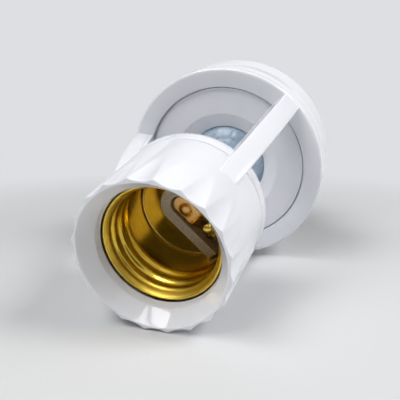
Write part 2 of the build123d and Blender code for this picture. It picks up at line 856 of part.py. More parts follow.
def wire(points, radii):
    with BuildPart() as strand:
        with BuildLine() as route:
            FilletPolyline(*points, radius=radii)
        with BuildSketch(Plane(route.line @ 0, z_dir=route.line % 0)):
            Circle(wire_radius)
        sweep(path=route.line)
    return strand


# Wires from the board through two struts to the socket, with bends as wide as the channels leave
z_board_wire = z_board + wire_radius + seat_gap
z_terminal_wire = z_insulator_back - terminal_wire_drop
z_strut_middle = (z_bell + z_wire_entry) / 2
wire_drop_radius = (band_radius + shell_wall + cap_bore_radius) / 2
strut_route = [
    (board_radius - 2 * wire_diameter, z_board_wire),
    (wire_rise_radius, z_board_wire),
    (wire_rise_radius, z_bell),
    (strut_radius(z_strut_middle) - wire_inset, z_strut_middle),
    (strut_radius(z_wire_entry) - wire_inset, z_wire_entry),
    (wire_drop_radius, z_wire_entry),
    (wire_drop_radius, z_insulator),
    (wire_inner_radius, z_terminal_wire),
]


def strut_points(angle):
    return [(*around(radius, angle), z) for radius, z in strut_route]


terminal_side = terminal_width / 2
live_wire = wire(
    strut_points(live_strut_angle)
    + [
        (-contact_screw_place, terminal_side + 2 * wire_diameter, z_terminal_wire),
        (-contact_screw_place, terminal_side, z_terminal_wire),
    ],
    strut_wire_bends + [terminal_turn_bend, terminal_entry_bend],
)
live_wire.part.label = "live_wire"
export_step(live_wire.part, "parts/live_wire.step")

neutral_wire = wire(
    strut_points(neutral_strut_angle)
    + [(*around(tab_inner + tab_thickness, neutral_strut_angle), z_terminal_wire)],
    strut_wire_bends + [terminal_turn_bend],
)
neutral_wire.part.label = "neutral_wire"
export_step(neutral_wire.part, "parts/neutral_wire.step")

# Wires from the screw base to the board
z_base_wire = (z_plug - spigot_length) / 2
neutral_run = spigot_radius - spigot_wall - wire_diameter
base_live_wire = wire(
    [
        (*live_pad, z_board_back),
        (*live_pad, z_board_back / 2),
        (0, 0, neck_height),
        (0, 0, z_plug_end),
    ],
    [base_wire_bend, base_wire_bend],
)
base_live_wire.part.label = "base_live_wire"
export_step(base_live_wire.part, "parts/base_live_wire.step")

base_neutral_wire = wire(
    [
        (*neutral_pad, z_board_back),
        (*neutral_pad, z_board_back / 2),
        (-neutral_run, 0, neck_height),
        (-neutral_run, 0, z_base_wire),
        (-base_bore_radius + seat_gap, 0, z_base_wire),
    ],
    [base_wire_bend, base_wire_bend, solder_bend],
)
base_neutral_wire.part.label = "base_neutral_wire"
export_step(base_neutral_wire.part, "parts/base_neutral_wire.step")
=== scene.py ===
import math

import bmesh
import bpy
import numpy as np
from mathutils import Matrix, Vector


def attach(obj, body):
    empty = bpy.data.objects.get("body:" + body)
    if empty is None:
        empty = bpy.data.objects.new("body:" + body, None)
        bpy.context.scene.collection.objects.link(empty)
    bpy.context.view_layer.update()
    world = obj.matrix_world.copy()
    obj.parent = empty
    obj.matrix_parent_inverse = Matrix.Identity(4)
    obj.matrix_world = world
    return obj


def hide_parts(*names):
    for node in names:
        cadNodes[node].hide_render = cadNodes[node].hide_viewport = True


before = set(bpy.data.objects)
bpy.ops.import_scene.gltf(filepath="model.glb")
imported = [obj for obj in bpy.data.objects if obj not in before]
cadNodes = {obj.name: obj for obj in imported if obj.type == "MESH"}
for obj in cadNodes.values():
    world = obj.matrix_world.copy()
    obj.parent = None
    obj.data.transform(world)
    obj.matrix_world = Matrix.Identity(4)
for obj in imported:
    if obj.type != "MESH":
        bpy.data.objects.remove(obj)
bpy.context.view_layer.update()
mm = 0.001
fullTurn = 2 * np.pi
tiny = 1e-9  # keeps divisions finite and tells two points apart
mergeWithin = 1e-7  # metres, for points that two stretches of an outline share
sharpFrom = math.radians(32)  # faces that meet at more than this keep their edge
print("frame loaded:", len(cadNodes), "nodes")


def gridQuads(rows, columns, closeRows, closeColumns):
    # Quads between neighbours on a grid of rows by columns, each way joined up at its end or left open
    i = np.arange(rows if closeRows else rows - 1)[:, None]
    j = np.arange(columns if closeColumns else columns - 1)[None, :]
    row, nextRow = i * columns, (i + 1) % rows * columns
    nextColumn = (j + 1) % columns
    return np.stack([row + j, row + nextColumn, nextRow + nextColumn, nextRow + j], -1).reshape(-1, 4)


def smoothStep(x):
    # Nought to one with level ends
    x = np.clip(x, 0, 1)
    return x * x * (3 - 2 * x)


def quadratic(s, start, control, end):
    # Curve from start to end, pulled towards the control point, at shares s of its way
    return (1 - s) ** 2 * start + 2 * s * (1 - s) * control + s**2 * end


def bowed(start, control, end, steps):
    # The same curve at even shares
    return quadratic(np.linspace(0, 1, steps)[:, None], np.array(start), np.array(control), np.array(end))


def softLine(corners, cuts, closed=True, arcSteps=6, runSteps=3):
    # Line through the corners: each corner gives way to a quadratic curve between the points one cut back
    # along its two sides, and the straight runs between the curves are divided evenly
    corners, cuts = np.array(corners, float), np.array(cuts, float)
    if not closed:
        cuts[[0, -1]] = 0
    before, after = np.roll(corners, 1, 0) - corners, np.roll(corners, -1, 0) - corners
    start = corners + before / np.linalg.norm(before, axis=1, keepdims=True) * cuts[:, None]
    end = corners + after / np.linalg.norm(after, axis=1, keepdims=True) * cuts[:, None]
    s = np.linspace(0, 1, arcSteps + 1)[None, :, None]
    curve = quadratic(s, start[:, None], corners[:, None], end[:, None])
    t = np.linspace(0, 1, runSteps + 2)[None, 1:-1, None]
    run = end[:, None] + (np.roll(start, -1, 0) - end)[:, None] * t
    line = np.concatenate([curve, run], 1).reshape(-1, 2)
    return line if closed else line[:-runSteps]


def roundAngles(steps):
    # Even directions round the axis, one to a row
    return np.arange(steps)[:, None] * fullTurn / steps


def wound(radius, height):
    # Closed surface with one closed outline (radius, height) for each direction round the axis
    steps, count = radius.shape
    angle = roundAngles(steps)
    height = np.broadcast_to(height, radius.shape)
    points = np.stack([radius * np.cos(angle), radius * np.sin(angle), height], -1)
    return points.reshape(-1, 3), gridQuads(steps, count, True, True).tolist()


def turned(outline, steps=180):
    # The same closed outline carried all the way round the axis
    return wound(np.tile(outline[:, 0], (steps, 1)), outline[:, 1])


def turnedAbout(shell, degrees):
    # A shell's points turned round the axis
    points, faces = shell
    c, s = math.cos(math.radians(degrees)), math.sin(math.radians(degrees))
    return points @ np.array([[c, s, 0], [-s, c, 0], [0, 0, 1]]), faces


def barred(sections):
    # Closed sections, one for each level, joined along the bar and filled flat at its two ends
    levels, count = sections.shape[:2]
    faces = gridQuads(levels, count, False, True).tolist()
    ends = [list(range(count)), list(range((levels - 1) * count, levels * count))]
    return sections.reshape(-1, 3), faces + ends


def makePiece(name, shells, finish, slot, *stands, body="holder"):
    # Puts closed shells, each (points in mm, faces), into one mesh in metres with its faces outwards
    first = np.cumsum([0] + [len(points) for points, faces in shells])
    points = np.concatenate([points for points, faces in shells]) * mm
    faces = [[int(start) + k for k in face] for start, shell in zip(first, shells) for face in shell[1]]
    mesh = bpy.data.meshes.new(name)
    mesh.from_pydata(points.tolist(), [], faces)
    work = bmesh.new()
    work.from_mesh(mesh)
    bmesh.ops.remove_doubles(work, verts=work.verts, dist=mergeWithin)
    bmesh.ops.recalc_face_normals(work, faces=work.faces)
    work.to_mesh(mesh)
    work.free()
    mesh.polygons.foreach_set("use_smooth", np.ones(len(mesh.polygons), bool))
    mesh.set_sharp_from_angle(angle=sharpFrom)
    piece = bpy.data.objects.new(name, mesh)
    bpy.context.scene.collection.objects.link(piece)
    mesh.materials.append(finish)
    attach(piece, body)
    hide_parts(*stands)
    print("piece", name, len(mesh.polygons), "faces")


def addNode(tree, kind, values=(), **settings):
    # One shader node, with its settings and its input values by socket name or number
    made = tree.nodes.new(kind)
    for key, value in settings.items():
        setattr(made, key, value)
    for key, value in dict(values).items():
        made.inputs[key].default_value = value
    return made


def addRange(tree, start, end=(0, 1), smooth=False):
    # Map Range node from one span to another, straight or as a smooth step
    spans = dict(zip(("From Min", "From Max", "To Min", "To Max"), (*start, *end)))
    kind = "SMOOTHSTEP" if smooth else "LINEAR"
    return addNode(tree, "ShaderNodeMapRange", spans, interpolation_type=kind)


def joinUp(tree, *links):
    # Links between shader nodes, each (output, input)
    for source, target in links:
        tree.links.new(source, target)


noiseGrain = 0.55
noiseSpan = (0.3, 0.7)  # most of a noise's values lie between these
mixFirst, mixSecond, mixResult = 6, 7, 2  # a Mix node's sockets for colours


def makeFinish(name, look):
    # Principled surface: two tints mixed by one noise, roughness between two bounds by a second, and a fine
    # bump from a third. Each noise reads Object coordinates, with its own (x, y, z) number of cells a metre.
    # A painted shade colour takes over below its two heights, and the surface is rougher by "dulled" above
    # its own two
    material = bpy.data.materials.new(name)
    material.use_nodes = True
    tree = material.node_tree
    shader = tree.nodes["Principled BSDF"]
    place = addNode(tree, "ShaderNodeTexCoord").outputs["Object"]

    def noiseOf(key, detail):
        stretch = addNode(tree, "ShaderNodeMapping", {"Scale": look[key]})
        grain = {"Scale": 1.0, "Detail": detail, "Roughness": noiseGrain}
        speck = addNode(tree, "ShaderNodeTexNoise", grain)
        joinUp(tree, (place, stretch.inputs["Vector"]), (stretch.outputs["Vector"], speck.inputs["Vector"]))
        return speck.outputs["Fac"]

    def risen(heights):
        # Nought below the first height, one above the second
        along = addNode(tree, "ShaderNodeSeparateXYZ")
        step = addRange(tree, [z * mm for z in heights], smooth=True)
        joinUp(tree, (place, along.inputs[0]), (along.outputs["Z"], step.inputs["Value"]))
        return step.outputs["Result"]

    tints = {mixFirst: (*look["tint"], 1), mixSecond: (*look["otherTint"], 1)}
    tint = addNode(tree, "ShaderNodeMix", tints, data_type="RGBA", clamp_factor=True)
    spread = addRange(tree, look["tintRange"])
    joinUp(tree, (noiseOf("tintScale", detail=4), spread.inputs["Value"]))
    joinUp(tree, (spread.outputs["Result"], tint.inputs[0]))
    colour = tint.outputs[mixResult]
    if "depthShade" in look:
        # Painted shade: a darker colour mixed in below the given heights
        depthShadeMix = addNode(tree, "ShaderNodeMix", {mixFirst: (*look["depthShade"], 1)}, data_type="RGBA")
        joinUp(tree, (risen(look["depthShadeHeights"]), depthShadeMix.inputs[0]), (colour, depthShadeMix.inputs[mixSecond]))
        colour = depthShadeMix.outputs[mixResult]
    gloss = addRange(tree, noiseSpan, look["rough"])
    joinUp(tree, (noiseOf("roughScale", detail=3), gloss.inputs["Value"]))
    roughness = gloss.outputs["Result"]
    if "dulled" in look:
        dull = addNode(tree, "ShaderNodeMath", {1: look["dulled"]}, operation="MULTIPLY_ADD")
        joinUp(tree, (risen(look["dulledHeights"]), dull.inputs[0]), (roughness, dull.inputs[2]))
        roughness = dull.outputs[0]
    dent = addNode(tree, "ShaderNodeBump", {"Strength": look["bump"], "Distance": look["bumpDepth"] * mm})
    joinUp(
        tree, (colour, shader.inputs["Base Color"]), (roughness, shader.inputs["Roughness"]),
        (noiseOf("bumpScale", detail=3), dent.inputs["Height"]),
        (dent.outputs["Normal"], shader.inputs["Normal"]),
    )
    for socket, value in look.get("shader", {}).items():
        shader.inputs[socket].default_value = value
    return material


def evenly(perMm):
    # The same number of noise cells for each millimetre, every way
    return (perMm / mm,) * 3


# Finishes that several pieces share
whitePlastic = makeFinish("whitePlastic", {
    "tint": (0.855, 0.862, 0.90), "otherTint": (0.83, 0.84, 0.885),
    "tintRange": (0.35, 0.7), "tintScale": evenly(0.06),
    "rough": (0.05, 0.10), "roughScale": evenly(0.25),
    "bump": 0.05, "bumpDepth": 0.02, "bumpScale": evenly(0.4),
    "shader": {"IOR": 1.48},
})
lensPlastic = makeFinish("lensPlastic", {
    "tint": (0.48, 0.59, 0.71), "otherTint": (0.30, 0.39, 0.49),
    "tintRange": (0.4, 0.66), "tintScale": evenly(0.35),
    "rough": (0.22, 0.38), "roughScale": evenly(0.8),
    "bump": 0.15, "bumpDepth": 0.05, "bumpScale": evenly(2),
    "shader": {"IOR": 1.5, "Subsurface Weight": 0.2, "Subsurface Radius": (0.002, 0.002, 0.002)},
})
socketBrass = makeFinish("socketBrass", {
    "tint": (0.92, 0.68, 0.12), "otherTint": (0.78, 0.54, 0.07),
    "tintRange": (0.4, 0.75), "tintScale": (250, 250, 900),
    # Painted shade: the cup's floor and the corner above it are darkened, standing in for the shade deep in
    # the socket
    "depthShade": (0.55, 0.39, 0.10), "depthShadeHeights": (67.0, 68.2),
    "rough": (0.11, 0.20), "roughScale": (300, 300, 5000), "dulled": 0.25, "dulledHeights": (84.5, 86.8),
    "bump": 0.08, "bumpDepth": 0.02, "bumpScale": (500, 500, 9000),
    "shader": {"Metallic": 1.0},
})
contactBrass = makeFinish("contactBrass", {
    "tint": (0.80, 0.50, 0.19), "otherTint": (0.66, 0.36, 0.12),
    "tintRange": (0.4, 0.7), "tintScale": (400, 1500, 400),
    "rough": (0.24, 0.38), "roughScale": (300, 4000, 300),
    "bump": 0.08, "bumpDepth": 0.02, "bumpScale": (800, 8000, 800),
    "shader": {"Metallic": 1.0},
})
insulatorPlastic = makeFinish("insulatorPlastic", {
    "tint": (0.62, 0.55, 0.45), "otherTint": (0.47, 0.41, 0.33),
    "tintRange": (0.4, 0.65), "tintScale": evenly(1.6),
    "rough": (0.42, 0.6), "roughScale": evenly(2),
    "bump": 0.25, "bumpDepth": 0.04, "bumpScale": evenly(6),
})
platedSteel = makeFinish("platedSteel", {
    "tint": (0.66, 0.66, 0.66), "otherTint": (0.20, 0.20, 0.205),
    "tintRange": (0.38, 0.62), "tintScale": evenly(0.9),
    "rough": (0.05, 0.12), "roughScale": evenly(5),
    "bump": 0.2, "bumpDepth": 0.06, "bumpScale": evenly(1.2),
    "shader": {"Metallic": 1.0},
})
platedShell = makeFinish("platedShell", {
    "tint": (0.76, 0.76, 0.75), "otherTint": (0.62, 0.62, 0.60),
    "tintRange": (0.4, 0.75), "tintScale": (200, 200, 1200),
    "rough": (0.18, 0.32), "roughScale": (300, 300, 6000),
    "bump": 0.08, "bumpDepth": 0.02, "bumpScale": (500, 500, 9000),
    "shader": {"Metallic": 1.0},
})
blackPlastic = makeFinish("blackPlastic", {
    "tint": (0.020, 0.020, 0.022), "otherTint": (0.035, 0.034, 0.034),
    "tintRange": (0.4, 0.7), "tintScale": evenly(0.5),
    "rough": (0.22, 0.4), "roughScale": evenly(2),
    "bump": 0.15, "bumpDepth": 0.03, "bumpScale": evenly(4),
})
solderMetal = makeFinish("solderMetal", {
    "tint": (0.62, 0.62, 0.63), "otherTint": (0.45, 0.45, 0.46),
    "tintRange": (0.35, 0.7), "tintScale": evenly(0.9),
    "rough": (0.3, 0.5), "roughScale": evenly(2),
    "bump": 0.35, "bumpDepth": 0.08, "bumpScale": evenly(1.4),
    "shader": {"Metallic": 1.0},
})
print("shared finishes made")

# Pieces that stay inside the closed housing keep their solids and take a finish each
hiddenFinish = {
    "tintRange": (0.35, 0.7), "rough": (0.3, 0.5), "roughScale": evenly(2),
    "bump": 0.2, "bumpDepth": 0.03, "bumpScale": evenly(4),
}
hiddenLooks = {
    "board": {
        "nodes": ("circuit_board",), "cells": 0.8,
        "tint": (0.02, 0.13, 0.05), "otherTint": (0.035, 0.18, 0.075),
    },
    "sensorCan": {
        "nodes": ("pyro_sensor",), "cells": 1.5, "metal": 1.0,
        "tint": (0.64, 0.62, 0.56), "otherTint": (0.5, 0.48, 0.43),
    },
    "cellFace": {
        "nodes": ("light_cell",), "cells": 1.0,
        "tint": (0.62, 0.52, 0.36), "otherTint": (0.42, 0.2, 0.12),
    },
    "relayCase": {
        "nodes": ("relay",), "cells": 0.6,
        "tint": (0.03, 0.10, 0.26), "otherTint": (0.045, 0.13, 0.31),
    },
    "filmCase": {
        "nodes": ("film_capacitor",), "cells": 0.7,
        "tint": (0.48, 0.36, 0.07), "otherTint": (0.56, 0.43, 0.1),
    },
    "canSleeve": {
        "nodes": ("electrolytic_capacitor",), "cells": 0.6,
        "tint": (0.03, 0.035, 0.05), "otherTint": (0.05, 0.06, 0.08),
    },
    "resistorBody": {
        "nodes": ("resistors",), "cells": 1.2,
        "tint": (0.42, 0.31, 0.19), "otherTint": (0.33, 0.22, 0.13),
    },
    "redWire": {
        "nodes": ("live_wire", "base_live_wire"), "cells": 0.9,
        "tint": (0.42, 0.03, 0.025), "otherTint": (0.5, 0.05, 0.04),
    },
    "blackWire": {
        "nodes": ("neutral_wire", "base_neutral_wire"), "cells": 0.9,
        "tint": (0.022, 0.022, 0.024), "otherTint": (0.04, 0.04, 0.042),
    },
}
sharedLooks = {
    "socket_insulator": insulatorPlastic, "contact_screw": platedSteel, "board_screws": platedSteel,
    "live_terminal": socketBrass, "shell_rivets": socketBrass, "neutral_tab": socketBrass,
    "control_chip": blackPlastic,
}


def dress(nodeName, finish):
    # Gives a solid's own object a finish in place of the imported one
    slots = cadNodes[nodeName].data.materials
    slots.clear()
    slots.append(finish)


for finishName, hidden in hiddenLooks.items():
    finish = makeFinish(finishName, {
        **hiddenFinish, "tint": hidden["tint"], "otherTint": hidden["otherTint"],
        "tintScale": evenly(hidden["cells"]), "shader": {"Metallic": hidden.get("metal", 0.0)},
    })
    for nodeName in hidden["nodes"]:
        dress(nodeName, finish)
for nodeName, finish in sharedLooks.items():
    dress(nodeName, finish)
print("solids dressed")

# Front moulding: bell ring, three struts and the fluted sleeve
ringShape = {
    "corners": [
        (24.95, 35.05), (30.5, 36.366), (30.5, 30.0), (29.4, 30.0), (29.4, 27.7), (28.5, 27.7), (28.5, 33.0),
        (24.95, 33.0),
    ],
    "cuts": [0.14, 1.2, 0.12, 0.1, 0.1, 0.1, 0.1, 0.1], "arcSteps": 7,
}
strutShape = {
    "angles": (-90, 30, 150), "footRadius": 30.2, "footHeight": 35.2, "capRadius": 22.3, "capHeight": 67.5,
    "rootHeight": 79.0, "bulge": 0.6, "footWidth": 5.7, "rootWidth": 5.1, "draft": 0.07,
    "depth": 4.2, "wall": 1.2, "channel": 3.2, "edge": 0.55, "innerEdge": 0.2, "channelEdge": 0.15,
    "bottom": 33.4, "end": 82.0, "sink": 0.25, "blend": 0.3, "innermost": 17.2, "innermostFrom": 70.0,
    "footSteps": 4, "barSteps": 62,
}
sleeveShape = {
    "seam": (19.05, 70.4), "mouth": (18.0, 94.5), "flutes": 20, "land": 0.4, "sagitta": 0.5,
    "fluteLength": 11.0, "runOut": 1.5, "soften": 0.05, "rim": 0.22, "seamEdge": 0.15,
    "inside": [
        (17.0, 94.5), (16.85, 94.5), (14.45, 90.5), (14.2, 88.4), (17.0, 88.4), (17.0, 70.4), (18.9, 70.4),
    ],
    "insideCuts": [0, 0.15, 0.3, 0.12, 0.1, 0.1, 0],
    "columns": 28, "edgeSteps": 6, "plainSteps": 14, "flutedSteps": 44,
}


def strutRadius(z):
    # Outer face: a straight line from foot to cap plus a slight even bulge, upright below the foot
    s = strutShape
    share = np.maximum(0, (z - s["footHeight"]) / (s["capHeight"] - s["footHeight"]))
    return s["footRadius"] + (s["capRadius"] - s["footRadius"]) * share + 4 * s["bulge"] * share * (1 - share)


def strutBar(section, levels, innermost, innermostFrom):
    # A section (inset from the outer face, side) carried up the strut; its sides narrow towards the root.
    # Over the sleeve the outer face is a smooth greater-of the strut's line and a line just under the
    # sleeve's cone, so it sinks in without an edge. Nothing above innermostFrom reaches inside innermost
    s = strutShape
    z = levels[:, None]
    share = (z - s["footHeight"]) / (s["rootHeight"] - s["footHeight"])
    width = (s["footWidth"] + (s["rootWidth"] - s["footWidth"]) * share) / s["footWidth"]
    outer = strutRadius(z)
    (seamRadius, seamHeight), (mouthRadius, mouthHeight) = sleeveShape["seam"], sleeveShape["mouth"]
    cone = seamRadius + (mouthRadius - seamRadius) * (z - seamHeight) / (mouthHeight - seamHeight)
    sunk = cone - s["sink"]
    melted = sunk + s["blend"] * np.logaddexp(0, (outer - sunk) / s["blend"])
    outer = np.where(z > s["capHeight"], melted, outer)
    radius = outer - section[None, :, 0]
    radius = np.where(z >= innermostFrom, np.maximum(radius, innermost), radius)
    side = section[None, :, 1] * width
    return barred(np.stack([radius, side, np.broadcast_to(z, radius.shape)], -1))


def strutSection(near, far, nearEdge, farEdge, channel=0):
    # Outline between two insets, with drafted sides, and a channel in its inner face if it has one
    s = strutShape
    half = s["footWidth"] / 2
    nearSide, farSide = half + s["draft"] * near, half + s["draft"] * far
    corners = [(far, -farSide), (near, -nearSide), (near, nearSide), (far, farSide)]
    cuts = [farEdge, nearEdge, nearEdge, farEdge]
    if channel:
        floor = s["wall"]
        corners += [(far, channel / 2), (floor, channel / 2), (floor, -channel / 2), (far, -channel / 2)]
        cuts += [s["channelEdge"]] * 4
    return softLine(corners, cuts, arcSteps=5)


def sleeveShell():
    # Outer wall: the lesser of a straight cone and, over each flute, the near side of a leaning round cutter,
    # r = C cos a - sqrt(R^2 - C^2 sin^2 a), where C grows down the wall, softened where the two meet. The
    # inside is plain turned work
    s = sleeveShape
    mouthRadius, mouthHeight = s["mouth"]
    seamRadius, seamHeight = s["seam"]
    pitch = fullTurn / s["flutes"]
    steps = s["flutes"] * s["columns"]
    fromValley = roundAngles(steps) % pitch - pitch / 2
    halfChord = mouthRadius * math.sin(pitch / 2) - s["land"] / 2
    cutter = (halfChord**2 + s["sagitta"] ** 2) / (2 * s["sagitta"])
    valley = math.sqrt(mouthRadius**2 - halfChord**2) - s["sagitta"]
    taper = (seamRadius - mouthRadius) / (mouthHeight - seamHeight)
    lean = (mouthRadius + taper * s["fluteLength"] - valley) / s["fluteLength"]
    quarter = np.linspace(0, np.pi / 2, s["edgeSteps"])
    flutesFrom = mouthHeight - s["fluteLength"] - s["runOut"]
    plain = np.linspace(seamHeight + s["seamEdge"], flutesFrom, s["plainSteps"])[:-1]
    fluted = np.linspace(flutesFrom, mouthHeight - s["rim"], s["flutedSteps"])[:-1]
    height = np.concatenate([
        seamHeight + s["seamEdge"] * (1 - np.cos(quarter))[:-1], plain, fluted,
        mouthHeight - s["rim"] * (1 - np.sin(quarter)),
    ])
    inset = np.concatenate([
        s["seamEdge"] * (1 - np.sin(quarter))[:-1], 0 * plain, 0 * fluted, s["rim"] * (1 - np.cos(quarter)),
    ])
    drop = mouthHeight - height
    cone = mouthRadius + taper * drop + 0 * fromValley
    centre = valley + cutter + lean * drop
    reach = cutter**2 - (centre * np.sin(fromValley)) ** 2
    cut = np.where(reach > 0, centre * np.cos(fromValley) - np.sqrt(np.maximum(reach, 0)), np.inf)
    wall = np.minimum(cone, cut) - s["soften"] * np.log1p(np.exp(-np.abs(cone - cut) / s["soften"]))
    inside = softLine(s["inside"], s["insideCuts"], closed=False, arcSteps=5)
    radius = np.concatenate([wall - inset, np.tile(inside[:, 0], (steps, 1))], 1)
    return wound(radius, np.concatenate([height, inside[:, 1]]))


def frontShells():
    # The turned ring, the sleeve, and one U-shaped bar at each strut's angle
    s = strutShape
    levels = np.concatenate([
        np.linspace(s["bottom"], s["footHeight"], s["footSteps"])[:-1],
        np.linspace(s["footHeight"], s["end"], s["barSteps"]),
    ])
    section = strutSection(0, s["depth"], s["edge"], s["innerEdge"], s["channel"])
    bar = strutBar(section, levels, s["innermost"], s["innermostFrom"])
    ring = turned(softLine(ringShape["corners"], ringShape["cuts"], arcSteps=ringShape["arcSteps"]))
    return [ring, sleeveShell(), *(turnedAbout(bar, angle) for angle in s["angles"])]


makePiece("frontMoulding", frontShells(), whitePlastic, "white_plastic", "front_frame")

# Inner moulding: sensor disc with its funnel, the strips behind the struts, and the socket's rear cap
coverShape = {
    "disc": [
        (12.4, 31.2), (27.8, 31.2), (27.8, 32.95), (24.55, 32.95), (24.55, 33.9), (16.7, 33.9), (12.4, 31.7),
    ],
    "discCuts": [0.1, 0.1, 0.1, 0.1, 0.2, 0.35, 0.12],
    "capBack": (12.0, 58.5), "capBow": (18.6, 60.606), "capEdge": (19.3, 67.5),
    "capRest": [
        (19.3, 67.5), (19.05, 70.1), (16.9, 70.1), (16.9, 73.9), (16.25, 73.9), (16.25, 64.4), (14.65, 64.4),
        (14.65, 62.3), (12.35, 60.0), (0, 60.0), (0, 58.5),
    ],
    "capCuts": [0, 0.15, 0.1, 0.1, 0.1, 0.1, 0.1, 0.1, 0.1, 0, 0], "bowSteps": 26, "capSteps": 144,
    "stripInsets": (4.27, 5.4), "stripEdges": (0.1, 0.25), "stripHeights": (31.4, 70.1), "stripSteps": 48,
    "stripInnermost": 16.4, "stripInnermostFrom": 64.0,
}


def coverShells():
    # The turned disc, the turned cap with its bowed back, and one plain bar behind each strut
    s = coverShape
    disc = turned(softLine(s["disc"], s["discCuts"], runSteps=4))
    bow = bowed(s["capBack"], s["capBow"], s["capEdge"], s["bowSteps"])
    rest = softLine(s["capRest"], s["capCuts"], closed=False, arcSteps=4)
    cap = turned(np.concatenate([bow, rest]), s["capSteps"])
    section = strutSection(*s["stripInsets"], *s["stripEdges"])
    levels = np.linspace(*s["stripHeights"], s["stripSteps"])
    strip = strutBar(section, levels, s["stripInnermost"], s["stripInnermostFrom"])
    return [disc, cap, *(turnedAbout(strip, angle) for angle in strutShape["angles"])]


makePiece("innerMoulding", coverShells(), whitePlastic, "white_plastic", "inner_cover")

# Rear housing: rounded bell, neck and the spigot inside the screw base
housingShape = {
    "crown": (17.0, 17.0), "bell": 30.5, "neckHeight": 4.0, "bore": 28.5, "wall": 2.0, "bellSteps": 40,
    "parting": 29.88, "lap": (29.5, 27.6), "lapCuts": [0, 0.05, 0.1, 0.1, 0.1, 0],
    "neck": [
        (17.0, 4.0), (14.7, 4.0), (14.7, 0.0), (11.5, 0.0), (11.5, -13.0), (10.6, -13.0), (10.6, 6.0),
        (17.0, 6.0),
    ],
    "neckCuts": [0, 0.5, 0.5, 0.1, 0.2, 0.2, 0.3, 0],
}


def housingShell():
    # Quarter ellipses about the crown, outside and inside, joined by the neck below and the lap at the front
    s = housingShape
    crownRadius, crownHeight = s["crown"]
    lapRadius, lapHeight = s["lap"]
    fall = crownHeight - s["neckHeight"]
    sweep = np.linspace(0, np.pi / 2, s["bellSteps"])
    outside = np.stack([
        crownRadius + (s["bell"] - crownRadius) * np.cos(sweep), crownHeight - fall * np.sin(sweep),
    ], 1)
    inside = np.stack([
        crownRadius + (s["bore"] - crownRadius) * np.sin(sweep),
        crownHeight - (fall - s["wall"]) * np.cos(sweep),
    ], 1)
    lapCorners = [
        (s["bore"], crownHeight), (s["bore"], lapHeight), (lapRadius, lapHeight),
        (lapRadius, s["parting"]), (s["bell"], s["parting"]), (s["bell"], crownHeight),
    ]
    lap = softLine(lapCorners, s["lapCuts"], closed=False, arcSteps=4, runSteps=2)
    neck = softLine(s["neck"], s["neckCuts"], closed=False)
    return turned(np.concatenate([outside, neck, inside, lap]))


makePiece("rearHousing", [housingShell()], whitePlastic, "white_plastic", "rear_housing")

# Lens: thin dome whose skin is a net of shallow lenslets
lensShape = {
    "radius": 12.1, "base": 31.7, "rise": 4.7, "wall": 0.8, "lip": 0.1,
    "flange": 14.0, "flangeTop": 31.2, "flangeBack": 30.4, "flangeCuts": [0, 0.05, 0.1, 0.1, 0.1, 0],
    "rings": (1, 6, 12, 18), "lensletHeight": 0.16, "steps": 180, "skinSteps": 60, "liningSteps": 30,
}


def leaning(tilt, turn):
    # Directions that lean away from the axis by tilt, towards turn
    return np.stack([np.sin(tilt) * np.cos(turn), np.sin(tilt) * np.sin(turn), np.cos(tilt) + 0 * turn], -1)


def lensShell():
    # Ball cap over the base, raised over each lenslet by a paraboloid that ends halfway to its nearest
    # neighbours. Half a ring's width is left at the rim, and every other ring is turned by half a lenslet
    s = lensShape
    ball = (s["radius"] ** 2 + s["rise"] ** 2) / (2 * s["rise"])
    rim = math.asin(s["radius"] / ball)
    rings = s["rings"]
    ringTilt = np.repeat(np.arange(len(rings)) / (len(rings) - 0.5) * rim, rings)
    ringTurn = np.concatenate([(np.arange(n) + 0.5 * (k % 2)) / n * fullTurn for k, n in enumerate(rings)])
    tilt = np.linspace(0, rim, s["skinSteps"])
    skin = leaning(tilt, roundAngles(s["steps"]))
    nearest = np.sort(np.arccos(np.clip(skin @ leaning(ringTilt, ringTurn).T, -1, 1)), -1)[..., :2]
    swell = s["lensletHeight"] * np.clip(1 - (2 * nearest[..., 0] / nearest.sum(-1)) ** 2, 0, 1)
    size = ball + swell - s["lensletHeight"]
    centre = s["base"] + s["rise"] - ball
    inner = s["radius"] - s["wall"]
    flangeCorners = [
        (s["radius"] - s["lip"], s["base"]), (s["radius"], s["flangeTop"]), (s["flange"], s["flangeTop"]),
        (s["flange"], s["flangeBack"]), (inner, s["flangeBack"]), (inner, s["base"]),
    ]
    flange = softLine(flangeCorners, s["flangeCuts"], closed=False, arcSteps=3, runSteps=2)
    under = np.linspace(rim, 0, s["liningSteps"])[1:]
    lining = np.stack([(ball - s["wall"]) * np.sin(under), centre + (ball - s["wall"]) * np.cos(under)], -1)
    rest = np.concatenate([flange, lining])
    radius = np.concatenate([size * np.sin(tilt), np.tile(rest[:, 0], (s["steps"], 1))], 1)
    height = np.concatenate([centre + size * np.cos(tilt), np.tile(rest[:, 1], (s["steps"], 1))], 1)
    return wound(radius, height)


makePiece("sensorLens", [lensShell()], lensPlastic, "lens_plastic", "sensor_lens")

# Socket shell: drawn brass cup with a rolled thread, a beaded lip and a slotted floor
socketShape = {
    "lip": 88.0, "lipRadius": 13.8, "bead": 0.3, "beadEnd": -0.4 * np.pi, "neck": 12.75,
    "flare": (85.9, 87.75), "flarePower": 1.5, "flareShort": 0.05,
    "crest": 12.35, "root": 13.3, "pitch": 3.63, "phase": 2.36,
    "threadTop": 86.9, "threadBottom": 76.2, "fade": 1.5, "band": 13.6, "floor": 67.0, "corner": 0.6,
    "wall": 0.4, "slotHalf": 5.5, "slotRound": 2.3, "slotReach": 13.5,
    "steps": 240, "floorSteps": 10, "cornerSteps": 8, "wallSteps": 110, "beadSteps": 14, "rowsInBead": 2,
}


